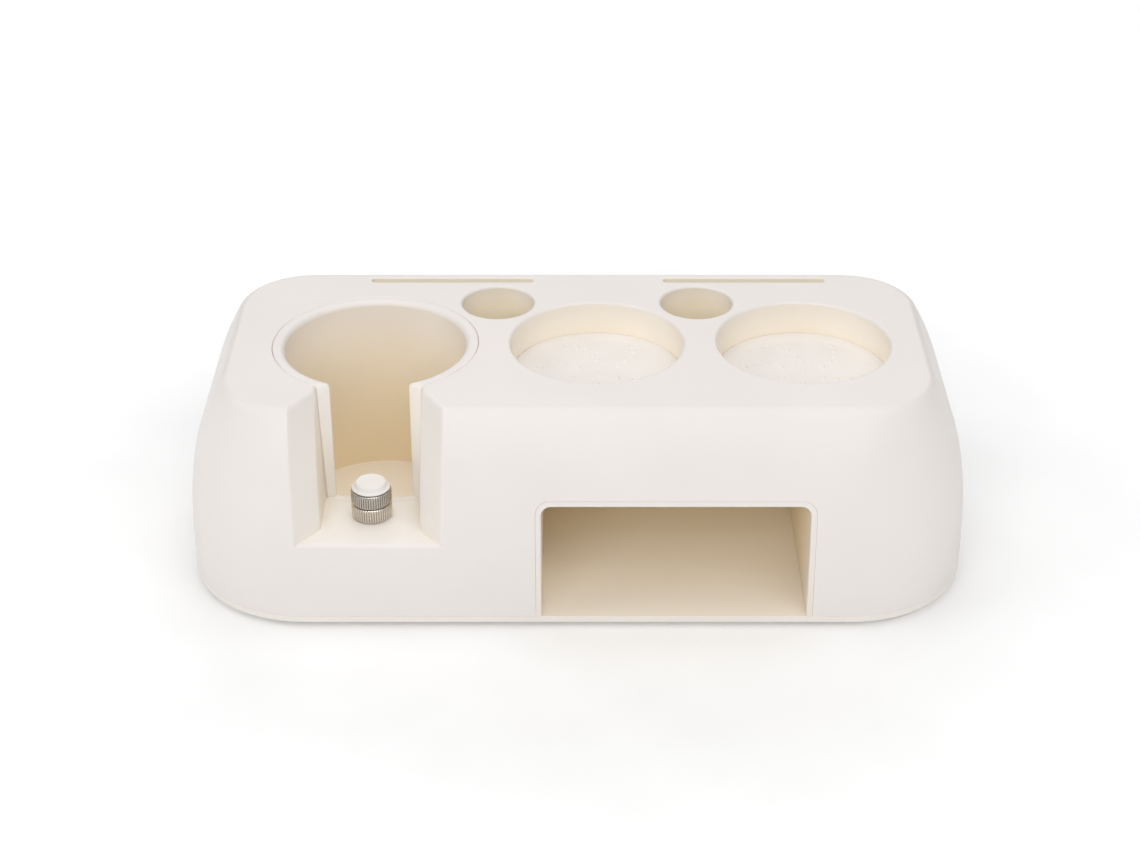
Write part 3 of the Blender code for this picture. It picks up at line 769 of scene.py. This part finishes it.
def make_bush():
    radius = BUSH_HIGH.x - REST[0]
    rings = []
    for part, inset in ((0.0, 0.4), (0.06, 0.0), (0.42, 0.0), (0.46, 0.5), (0.54, 0.5), (0.58, 0.0),
                        (0.95, 0.0), (1.0, 0.3)):
        z = BUSH_LOW.z + (BUSH_HIGH.z - BUSH_LOW.z) * part
        ring = []
        for i in range(96):
            r = radius - inset * MM - (0.15 * MM if i % 2 and inset == 0.0 else 0.0)
            angle = 2.0 * math.pi * i / 96
            ring.append((REST[0] + r * math.cos(angle), REST[1] + r * math.sin(angle), z))
        rings.append(ring)
    bush = loft("bush", rings)
    cut(bush, turned("bush_bore", [(3.15 * MM, BUSH_LOW.z - OVER), (3.15 * MM, BUSH_HIGH.z + OVER)],
                     REST, 40))
    return smooth(bush)


def make_cap():
    """Soft cap: thin flange, sides that sweep in, and a flat, faintly dished top."""
    height = CAP_HIGH.z - CAP_LOW.z
    outline = [(6.15, 0.0), (6.38, 0.06), (6.5, 0.2), (6.5, 0.38), (6.38, 0.52), (6.12, 0.62),
               (5.86, 0.78), (5.66, 1.0), (5.52, 1.3), (5.42, 1.6), (5.33, 1.9), (5.24, 2.14),
               (5.08, 2.38), (4.84, 2.56), (4.54, 2.66), (4.2, 2.7), (3.6, 2.69), (2.4, 2.64),
               (1.2, 2.61), (0.2, 2.6)]
    top = outline[15][1]
    points = [(r * MM, CAP_LOW.z + z / top * height) for r, z in outline]
    return smooth(turned("cap", points, REST, 72), 60.0)


# ---------------------------------------------------------------- feet and screws

def make_foot(number):
    low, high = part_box(f"foot_{number}")
    centre = (0.5 * (low.x + high.x), 0.5 * (low.y + high.y))
    radius = 0.5 * (high.x - low.x)
    points = [(radius - 3.2 * MM, low.z), (radius - 0.7 * MM, low.z),
              (radius - 0.3 * MM, low.z + 0.1 * MM), (radius - 0.08 * MM, low.z + 0.35 * MM),
              (radius, low.z + 0.7 * MM), (radius, high.z)]
    foot = turned(f"rubber_foot_{number}", points, centre, 64)
    for r in (4.6 * MM, 2.6 * MM):
        ring = turned("groove", [(r + 0.35 * MM, low.z - OVER), (r + 0.35 * MM, low.z + 0.3 * MM)],
                      centre, 48)
        cut(ring, turned("groove_core", [(r - 0.35 * MM, low.z - 2.0 * OVER),
                                         (r - 0.35 * MM, low.z + OVER)], centre, 48))
        cut(foot, ring)
    return smooth(foot)


def make_screw(number):
    low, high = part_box(f"base_screw_{number}")
    centre = (0.5 * (low.x + high.x), 0.5 * (low.y + high.y))
    head = low.z + 1.5 * MM
    points = [(0.6 * MM, low.z), (1.9 * MM, low.z + 0.08 * MM), (2.6 * MM, low.z + 0.3 * MM),
              (2.9 * MM, low.z + 0.7 * MM), (2.9 * MM, head), (1.3 * MM, head),
              (1.3 * MM, high.z - 1.2 * MM), (0.3 * MM, high.z)]
    screw = turned(f"screw_{number}", points, centre, 32)
    for turn in (0.0, 90.0):
        blade = box("blade", (-1.6 * MM, -0.3 * MM, low.z - OVER),
                    (1.6 * MM, 0.3 * MM, low.z + 0.9 * MM))
        angle = math.radians(turn + 17.0 * number)
        for vertex in blade.data.vertices:
            x, y, z = vertex.co
            vertex.co = (centre[0] + x * math.cos(angle) - y * math.sin(angle),
                         centre[1] + x * math.sin(angle) + y * math.cos(angle), z)
        cut(screw, blade)
    return smooth(screw)


# ---------------------------------------------------------------- materials

def new_material(name):
    material = bpy.data.materials.new(name)
    material.use_nodes = True
    tree = material.node_tree
    return material, tree, tree.nodes["Principled BSDF"]


def noise(tree, scale, detail=3.0, roughness=0.55, stretch=(1.0, 1.0, 1.0)):
    place = tree.nodes.new("ShaderNodeTexCoord")
    mapping = tree.nodes.new("ShaderNodeMapping")
    mapping.inputs["Scale"].default_value = stretch
    texture = tree.nodes.new("ShaderNodeTexNoise")
    texture.inputs["Scale"].default_value = scale
    texture.inputs["Detail"].default_value = detail
    texture.inputs["Roughness"].default_value = roughness
    tree.links.new(place.outputs["Object"], mapping.inputs["Vector"])
    tree.links.new(mapping.outputs["Vector"], texture.inputs["Vector"])
    return texture


def rgba(value):
    """Colour with alpha, from a grey level or a red, green and blue triple."""
    return (*value, 1.0) if isinstance(value, tuple) else (value, value, value, 1.0)


def ramp(tree, source, low, high, start=0.35, end=0.65):
    node = tree.nodes.new("ShaderNodeValToRGB")
    node.color_ramp.elements[0].position = start
    node.color_ramp.elements[1].position = end
    node.color_ramp.elements[0].color = rgba(low)
    node.color_ramp.elements[1].color = rgba(high)
    tree.links.new(source, node.inputs["Fac"])
    return node.outputs["Color"]


def bump(tree, shader, height, strength, distance):
    node = tree.nodes.new("ShaderNodeBump")
    node.inputs["Strength"].default_value = strength
    node.inputs["Distance"].default_value = distance
    tree.links.new(height, node.inputs["Height"])
    tree.links.new(node.outputs["Normal"], shader.inputs["Normal"])


def stepped(tree, source, stops):
    """Grey level that runs through (position, level) stops."""
    node = tree.nodes.new("ShaderNodeValToRGB")
    elements = node.color_ramp.elements
    while len(elements) < len(stops):
        elements.new(0.5)
    for element, (position, level) in zip(elements, stops):
        element.position = position
        element.color = rgba(level)
    tree.links.new(source, node.inputs["Fac"])
    return node.outputs["Color"]


def calculate(tree, operation, first, second):
    node = tree.nodes.new("ShaderNodeMath")
    node.operation = operation
    tree.links.new(first, node.inputs[0])
    tree.links.new(second, node.inputs[1])
    return node.outputs["Value"]


def rescale(tree, source, start, end, low, high, interpolation="LINEAR"):
    """Map a value between start and end to one between low and high."""
    node = tree.nodes.new("ShaderNodeMapRange")
    node.interpolation_type = interpolation
    node.inputs["From Min"].default_value = start
    node.inputs["From Max"].default_value = end
    node.inputs["To Min"].default_value = low
    node.inputs["To Max"].default_value = high
    tree.links.new(source, node.inputs["Value"])
    return node.outputs["Result"]


def painted_bounce_shade(tree, open_colour, inner, pale, local, stops):
    """Painted bounce shade: mix towards a warmer colour where walls stand close round the surface,
    standing in for light bounced between them; the piece's own walls if local, and its neighbours' too
    if not."""
    enclosed = tree.nodes.new("ShaderNodeAmbientOcclusion")
    enclosed.only_local = local
    enclosed.samples = 4
    enclosed.inputs["Distance"].default_value = ENCLOSED_REACH
    openness = enclosed.outputs["AO"]
    painted_bounce = tree.nodes.new("ShaderNodeAttribute")
    painted_bounce.attribute_name = "painted_bounce"
    amount = calculate(tree, "MAXIMUM", stepped(tree, openness, stops), painted_bounce.outputs["Fac"])
    # Painted light: surfaces that face up take the paler tone, as if they caught more light from the
    # opening
    geometry = tree.nodes.new("ShaderNodeNewGeometry")
    axes = tree.nodes.new("ShaderNodeSeparateXYZ")
    tree.links.new(geometry.outputs["Normal"], axes.inputs["Vector"])
    facing_up = rescale(tree, axes.outputs["Z"], 0.3, 1.0, 0.0, 0.2)
    tone = ramp(tree, calculate(tree, "ADD", openness, facing_up), inner, pale, DEEP_TONE_AT,
                PALE_TONE_AT)
    mix = tree.nodes.new("ShaderNodeMix")
    mix.data_type = "RGBA"
    tree.links.new(amount, mix.inputs["Factor"])
    tree.links.new(open_colour, mix.inputs["A"])
    tree.links.new(tone, mix.inputs["B"])
    return mix.outputs["Result"]


def moulded_plastic(name, colour, inner, pale, local=False, stops=DEEP_STOPS, roughness=0.42,
                    grain=0.25):
    """Satin moulded plastic: near-even colour with slow drift, painted bounce shade that makes it
    warmer where it is enclosed, a fine grain and a soft sheen."""
    material, tree, shader = new_material(name)
    slow = noise(tree, 22.0, 2.0)
    open_colour = ramp(tree, slow.outputs["Fac"], tuple(c * 0.975 for c in colour), colour)
    shaded = painted_bounce_shade(tree, open_colour, inner, pale, local, stops)
    tree.links.new(shaded, shader.inputs["Base Color"])
    patches = noise(tree, 160.0, 4.0)
    tree.links.new(ramp(tree, patches.outputs["Fac"], roughness - 0.05, roughness + 0.06),
                   shader.inputs["Roughness"])
    fine = noise(tree, 3200.0, 2.0, 0.6)
    bump(tree, shader, fine.outputs["Fac"], grain, 0.00002)
    shader.inputs["IOR"].default_value = 1.5
    return material


def silicone(name, colour, roughness):
    """Matt silicone with a slow drift in colour and a fine, soft grain."""
    material, tree, shader = new_material(name)
    dark = tuple(c * 0.96 for c in colour)
    slow = noise(tree, 60.0, 3.0)
    tree.links.new(ramp(tree, slow.outputs["Fac"], dark, colour), shader.inputs["Base Color"])
    fine = noise(tree, 2400.0, 3.0)
    tree.links.new(ramp(tree, fine.outputs["Fac"], roughness - 0.08, roughness + 0.08),
                   shader.inputs["Roughness"])
    bump(tree, shader, fine.outputs["Fac"], 0.3, 0.00003)
    return material


def turned_metal(name, colour, roughness):
    """Turned metal with fine marks round the axis, faint staining, and painted shade that darkens the
    knurled grooves.
    """
    material, tree, shader = new_material(name)
    shader.inputs["Metallic"].default_value = 1.0
    stain = noise(tree, 500.0, 2.0)
    dark = tuple(c * 0.9 for c in colour)
    groove = tree.nodes.new("ShaderNodeAttribute")
    groove.attribute_name = "groove"
    # Painted shade: deeper in the knurl's grooves the colour falls towards a third of the steel's
    groove_shade = tree.nodes.new("ShaderNodeMix")
    groove_shade.data_type = "RGBA"
    tree.links.new(groove.outputs["Fac"], groove_shade.inputs["Factor"])
    tree.links.new(ramp(tree, stain.outputs["Fac"], dark, colour, 0.3, 0.7), groove_shade.inputs["A"])
    groove_shade.inputs["B"].default_value = (*(c * 0.3 for c in colour), 1.0)
    tree.links.new(groove_shade.outputs["Result"], shader.inputs["Base Color"])
    marks = noise(tree, 500.0, 3.0, 0.6, (1.0, 1.0, 30.0))
    tree.links.new(ramp(tree, marks.outputs["Fac"], roughness - 0.07, roughness + 0.12),
                   shader.inputs["Roughness"])
    bump(tree, shader, marks.outputs["Fac"], 0.15, 0.00002)
    return material


def rubber(name, colour):
    """Dull rubber with a pebbled skin."""
    material, tree, shader = new_material(name)
    fine = noise(tree, 1800.0, 4.0)
    dark = tuple(c * 0.7 for c in colour)
    tree.links.new(ramp(tree, fine.outputs["Fac"], dark, colour), shader.inputs["Base Color"])
    tree.links.new(ramp(tree, fine.outputs["Fac"], 0.7, 0.9), shader.inputs["Roughness"])
    bump(tree, shader, fine.outputs["Fac"], 0.5, 0.00005)
    return material


def mark_painted_bounce(obj, amount_at):
    """Store the least share of the painted bounce shade, the warm colour, that each face takes, as a
    face attribute.
    """
    painted_bounce = obj.data.attributes.new("painted_bounce", "FLOAT", "FACE")
    for polygon in obj.data.polygons:
        painted_bounce.data[polygon.index].value = amount_at(polygon.center)
    return obj


def mark_slot_face_painted_bounce(obj):
    """Painted bounce shade on the cup's slot faces: warmer towards the outer edge, fading out over the
    rounded top.
    """
    least, rise = SLOT_FACE_PAINTED_BOUNCE
    painted_bounce = obj.data.attributes.new("painted_bounce", "FLOAT", "POINT")
    for polygon in obj.data.polygons:
        centre = polygon.center
        radius = math.hypot(centre.x - CUP_X, centre.y - CUP_Y)
        outer = cup_radius(TOP_Z - centre.z)
        near = abs(centre.x - CUP_X) < CUP_SLOT_HALF + 7.0 * MM and polygon.normal.y < -0.1
        in_wall = CUP_INNER_TOP_R + 0.15 * MM < radius < outer - 0.06 * MM
        on_rim = centre.z > TOP_Z - 0.6 * MM and radius > outer - 0.6 * MM
        if not near or not in_wall or on_rim:
            continue
        for index in polygon.vertices:
            place = obj.data.vertices[index].co
            radius = math.hypot(place.x - CUP_X, place.y - CUP_Y)
            wall = cup_radius(TOP_Z - place.z) - CUP_INNER_TOP_R
            across = min(1.0, max(0.0, (radius - CUP_INNER_TOP_R) / wall))
            drop = min(1.0, max(0.0, (TOP_Z - place.z) / CUP_SLOT_EDGE))
            painted_bounce.data[index].value = drop * (least + rise * across)
    return obj


def bay_floor_painted_bounce(centre):
    """Painted bounce shade on the top of the base plate, where it floors the compartment."""
    return BAY_FLOOR_PAINTED_BOUNCE if abs(centre.z - PLATE_TOP_Z) < 0.01 * MM else 0.0


def channel_wall_painted_bounce(centre):
    """Painted bounce shade on the short walls between the socket and the splays."""
    in_width = abs(centre.x - CHANNEL_X) < CHANNEL_TOP_HALF + 0.8 * MM
    in_height = 34.0 * MM < centre.z < TOP_Z - CHANNEL_EDGE
    in_length = -52.0 * MM < centre.y < -28.0 * MM
    return CHANNEL_WALL_PAINTED_BOUNCE if in_width and in_height and in_length else 0.0


def dress(obj, material, body, slot, *nodes):
    """Give a piece its material and its body, and hide the CAD nodes it replaces; the slot argument is
    not used.
    """
    obj.data.materials.clear()
    obj.data.materials.append(material)
    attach(obj, body)
    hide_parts(*nodes)


# ---------------------------------------------------------------- assembly

# The plastics' deep creams are painted bounce shade; the base's lighter cream is painted light
shell_plastic = moulded_plastic("shell_plastic", OPEN_CREAM, BOUNCE_SHADE_CREAM, PALE_BOUNCE_CREAM, local=True)
base_plastic = moulded_plastic("base_plastic", LIT_BASE_CREAM, BAY_BOUNCE_SHADE_CREAM, PALE_BAY_BOUNCE_CREAM, local=True,
                               stops=BASE_STOPS)
cup_plastic = moulded_plastic("cup_plastic", OPEN_CREAM, CUP_BOUNCE_SHADE_CREAM, PALE_BOUNCE_CREAM, local=True, grain=0.2)
liner_plastic = moulded_plastic("liner_plastic", OPEN_CREAM, BAY_BOUNCE_SHADE_CREAM, BAY_BOUNCE_SHADE_CREAM, stops=BAY_STOPS,
                                grain=0.2)
mat_silicone = silicone("mat_silicone", (0.86, 0.81, 0.765), 0.78)
cap_silicone = silicone("cap_silicone", (0.855, 0.82, 0.78), 0.5)
nut_steel = turned_metal("nut_steel", (0.78, 0.71, 0.625), 0.2)
head_steel = turned_metal("head_steel", (0.55, 0.51, 0.455), 0.2)
stud_steel = turned_metal("stud_steel", (0.66, 0.64, 0.60), 0.32)
bush_brass = turned_metal("bush_brass", (0.80, 0.60, 0.28), 0.3)
screw_steel = turned_metal("screw_steel", (0.50, 0.50, 0.51), 0.35)
foot_rubber = rubber("foot_rubber", (0.045, 0.045, 0.045))

# The shell, base and cup take painted bounce shade on the faces marked here
dress(mark_painted_bounce(make_shell(), channel_wall_painted_bounce), shell_plastic, "stand", "shell", "main_shell")
dress(mark_painted_bounce(make_base(), bay_floor_painted_bounce), base_plastic, "stand", "base", "base_plate")
dress(mark_slot_face_painted_bounce(make_cup()), cup_plastic, "cup", "cup", "portafilter_cup")
dress(make_liner(), liner_plastic, "stand", "liner", "compartment_liner")
dress(make_mat("tamper_mat", RECESS_XS[0]), mat_silicone, "stand", "tamper_mat", "tamper_pad")
dress(make_mat("distributor_mat", RECESS_XS[1]), mat_silicone, "stand", "distributor_mat",
      "distributor_pad")
dress(make_knurled("knurled_lock_nut", NUT_LOW.z, NUT_HIGH.z, LOCK_NUT_BORE), nut_steel, "lock_nut",
      "lock_nut_steel", "lock_nut")
dress(make_knurled("knurled_head", HEAD_LOW.z, HEAD_HIGH.z, 0.0), head_steel, "rest_screw",
      "head_steel", "adjuster_head")
dress(threaded_rod("stud", 0.5 * (STUD_HIGH.x - STUD_LOW.x), THREAD_DEPTH, THREAD_PITCH, STUD_LOW.z,
                   STUD_HIGH.z, REST), stud_steel, "rest_screw", "stud_steel", "rest_stud")
dress(make_bush(), bush_brass, "stand", "bush_brass", "threaded_bush")
dress(make_cap(), cap_silicone, "rest_top", "cap_rubber", "rest_cap")
for number in range(1, len(FEET) + 1):
    dress(make_foot(number), foot_rubber, "stand", "foot_rubber", f"foot_{number}")
for number in range(1, len(POSTS) + 1):
    dress(make_screw(number), screw_steel, "stand", "screw_steel", f"base_screw_{number}")


# ---------------------------------------------------------------- floor, light and camera

def make_floor():
    bpy.ops.mesh.primitive_plane_add(size=FLOOR_SIZE, location=(0.0, 0.0, FLOOR_Z))
    floor = bpy.context.object
    floor.name = "floor"
    material, tree, shader = new_material("floor_paper")
    faint = noise(tree, 30.0, 3.0)
    tree.links.new(ramp(tree, faint.outputs["Fac"], 0.92, 0.95), shader.inputs["Base Color"])
    shader.inputs["Roughness"].default_value = 0.9
    # The paper glows more with distance, so the ground runs out to white
    place = tree.nodes.new("ShaderNodeTexCoord")
    away = tree.nodes.new("ShaderNodeVectorMath")
    away.operation = "LENGTH"
    tree.links.new(place.outputs["Object"], away.inputs[0])
    glow = rescale(tree, away.outputs["Value"], 0.1, 0.34, 0.07, 0.36, "SMOOTHSTEP")
    shader.inputs["Emission Color"].default_value = (1.0, 1.0, 1.0, 1.0)
    tree.links.new(glow, shader.inputs["Emission Strength"])
    floor.data.materials.append(material)


def area_light(name, location, size, power):
    data = bpy.data.lights.new(name, "AREA")
    data.shape = "RECTANGLE"
    data.size, data.size_y = size
    data.energy = power
    light = bpy.data.objects.new(name, data)
    light.location = location
    direction = Vector(LIGHT_TARGET) - Vector(location)
    light.rotation_euler = direction.to_track_quat("-Z", "Y").to_euler()
    bpy.context.scene.collection.objects.link(light)


def make_world():
    world = bpy.data.worlds.new("studio")
    world.use_nodes = True
    background = world.node_tree.nodes["Background"]
    background.inputs["Color"].default_value = (0.97, 0.985, 1.0, 1.0)
    background.inputs["Strength"].default_value = WORLD_STRENGTH
    bpy.context.scene.world = world


def make_camera():
    data = bpy.data.cameras.new("camera")
    data.lens = CAMERA_LENS
    data.sensor_width = CAMERA_SENSOR
    data.shift_x = CAMERA_SHIFT_X
    data.clip_start = 0.05
    camera = bpy.data.objects.new("camera", data)
    camera.location = (0.0, -CAMERA_DISTANCE, TOP_Z + CAMERA_RISE)
    camera.rotation_euler = (math.radians(90.0 - CAMERA_PITCH), 0.0, 0.0)
    bpy.context.scene.collection.objects.link(camera)
    bpy.context.scene.camera = camera


make_floor()
make_world()
for name, place, size, power in LIGHTS:
    area_light(name, place, size, power)
make_camera()
bpy.context.scene.view_settings.view_transform = "Standard"
bpy.context.scene.view_settings.gamma = 1.15
